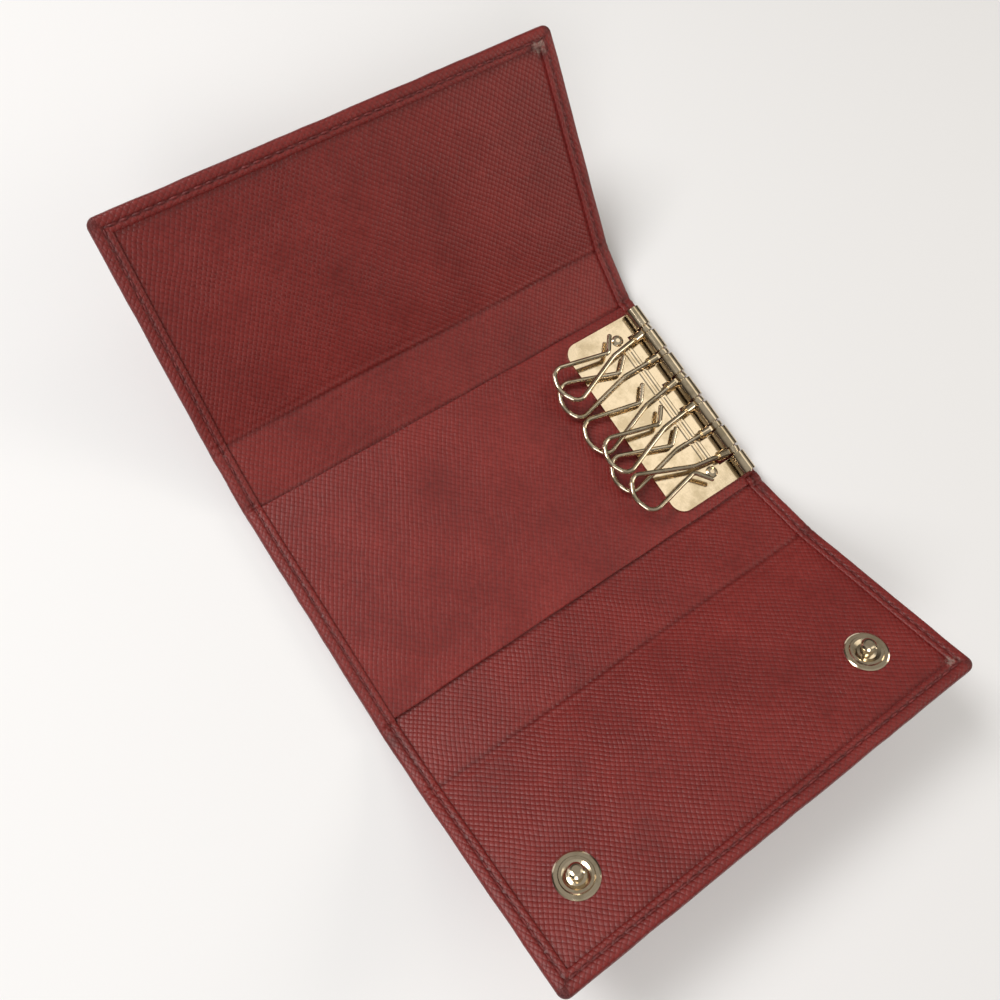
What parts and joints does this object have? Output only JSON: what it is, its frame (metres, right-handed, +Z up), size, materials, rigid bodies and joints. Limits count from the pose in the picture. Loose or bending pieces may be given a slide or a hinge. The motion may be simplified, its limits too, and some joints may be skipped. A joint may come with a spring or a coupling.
{
  "type": "key organiser",
  "caption": "Tri-fold cross-grain leather key case, shown open, with a riveted plate whose rod carries swinging wire key hooks, a slip pocket and snap fasteners.",
  "frame": {"origin": "centre of the middle panel's outer face, on the plane that the open case rests on", "axes": "+X along the folds towards the key frame, +Y across the folds towards the flap with the sockets, +Z up out of the open case"},
  "size_m": [0.11, 0.1692, 0.0433],
  "materials": {
    "outer_leather": "cross-grain embossed, waxed",
    "lining_leather": "cross-grain embossed, waxed",
    "board": "bonded leather fibre board, matte",
    "nickel": "polished nickel plate",
    "wire": "polished nickel plated steel wire"
  },
  "bodies": {
    "case_middle": {"middle_cover": "outer_leather", "middle_board": "board", "middle_lining": "lining_leather", "slip_pocket": "lining_leather", "key_frame": "nickel", "key_rod": "wire", "frame_rivets": "nickel", "rivet_washers": "nickel"},
    "top_spine": {"top_spine_cover": "outer_leather", "top_spine_lining": "lining_leather"},
    "top_flap": {"top_flap_cover": "outer_leather", "top_flap_board": "board", "top_flap_lining": "lining_leather", "snap_sockets": "nickel", "socket_springs": "wire", "socket_posts": "nickel"},
    "bottom_spine": {"bottom_spine_cover": "outer_leather", "bottom_spine_lining": "lining_leather"},
    "bottom_flap": {"bottom_flap_cover": "outer_leather", "bottom_flap_board": "board", "bottom_flap_lining": "lining_leather", "snap_studs": "nickel", "stud_posts": "nickel"},
    "hook_swivel_1": {"hook_swivel_1": "wire"},
    "key_hook_1": {"key_hook_1": "wire"},
    "hook_swivel_2": {"hook_swivel_2": "wire"},
    "key_hook_2": {"key_hook_2": "wire"},
    "hook_swivel_3": {"hook_swivel_3": "wire"},
    "key_hook_3": {"key_hook_3": "wire"},
    "hook_swivel_4": {"hook_swivel_4": "wire"},
    "key_hook_4": {"key_hook_4": "wire"},
    "hook_swivel_5": {"hook_swivel_5": "wire"},
    "key_hook_5": {"key_hook_5": "wire"},
    "hook_swivel_6": {"hook_swivel_6": "wire"},
    "key_hook_6": {"key_hook_6": "wire"}
  },
  "joints": [
    {"name": "top_spine_fold", "type": "hinge", "parent": "case_middle", "child": "top_spine", "pos_m": [0, 0.0277, 0.0017], "axis": [-1, 0, 0], "range_deg": [-64.5, 25.5]},
    {"name": "top_flap_fold", "type": "hinge", "parent": "top_spine", "child": "top_flap", "pos_m": [0, 0.04142, 0.00824], "axis": [-1, 0, 0], "range_deg": [-78.28, 15.5]},
    {"name": "bottom_spine_fold", "type": "hinge", "parent": "case_middle", "child": "bottom_spine", "pos_m": [0, -0.0277, 0.0017], "axis": [1, 0, 0], "range_deg": [-73, 17]},
    {"name": "bottom_flap_fold", "type": "hinge", "parent": "bottom_spine", "child": "bottom_flap", "pos_m": [0, -0.04396, 0.00667], "axis": [1, 0, 0], "range_deg": [-76.72, 9.5]},
    {"name": "hook_2_swing", "type": "hinge", "parent": "case_middle", "child": "hook_swivel_2", "pos_m": [0.0519, 0.0111, 0.0044], "axis": [0, 1, 0], "range_deg": [0, 180]},
    {"name": "hook_1_swing", "type": "hinge", "parent": "hook_swivel_2", "child": "hook_swivel_1", "pos_m": [0.0519, 0.0185, 0.0044], "axis": [0, 1, 0], "range_deg": [0, 180]},
    {"name": "hook_5_swing", "type": "hinge", "parent": "case_middle", "child": "hook_swivel_5", "pos_m": [0.0519, -0.0111, 0.0044], "axis": [0, 1, 0], "range_deg": [0, 180]},
    {"name": "hook_3_swing", "type": "hinge", "parent": "hook_swivel_5", "child": "hook_swivel_3", "pos_m": [0.0519, 0.0037, 0.0044], "axis": [0, 1, 0], "range_deg": [0, 180]},
    {"name": "hook_4_swing", "type": "hinge", "parent": "hook_swivel_3", "child": "hook_swivel_4", "pos_m": [0.0519, -0.0037, 0.0044], "axis": [0, 1, 0], "range_deg": [0, 180]},
    {"name": "hook_6_swing", "type": "hinge", "parent": "hook_swivel_5", "child": "hook_swivel_6", "pos_m": [0.0519, -0.0185, 0.0044], "axis": [0, 1, 0], "range_deg": [0, 180]},
    {"name": "hook_1_turn", "type": "hinge", "parent": "hook_swivel_1", "child": "key_hook_1", "pos_m": [0.0519, 0.0185, 0.0044], "axis": [-0.9831, -0.1557, 0.0958], "range_deg": [-5, 5]},
    {"name": "hook_2_turn", "type": "hinge", "parent": "hook_swivel_2", "child": "key_hook_2", "pos_m": [0.0519, 0.0111, 0.0044], "axis": [-0.9999, -0.007, -0.0087], "range_deg": [-5, 5]},
    {"name": "hook_3_turn", "type": "hinge", "parent": "hook_swivel_3", "child": "key_hook_3", "pos_m": [0.0519, 0.0037, 0.0044], "axis": [-0.9916, -0.1288, -0.0087], "range_deg": [-5, 5]},
    {"name": "hook_4_turn", "type": "hinge", "parent": "hook_swivel_4", "child": "key_hook_4", "pos_m": [0.0519, -0.0037, 0.0044], "axis": [-0.9896, -0.1075, 0.0958], "range_deg": [-5, 5]},
    {"name": "hook_5_turn", "type": "hinge", "parent": "hook_swivel_5", "child": "key_hook_5", "pos_m": [0.0519, -0.0111, 0.0044], "axis": [-0.9999, 0.0087, -0.0087], "range_deg": [-5, 5]},
    {"name": "hook_6_turn", "type": "hinge", "parent": "hook_swivel_6", "child": "key_hook_6", "pos_m": [0.0519, -0.0185, 0.0044], "axis": [-0.9847, 0.1454, 0.0958], "range_deg": [-5, 5]}
  ]
}
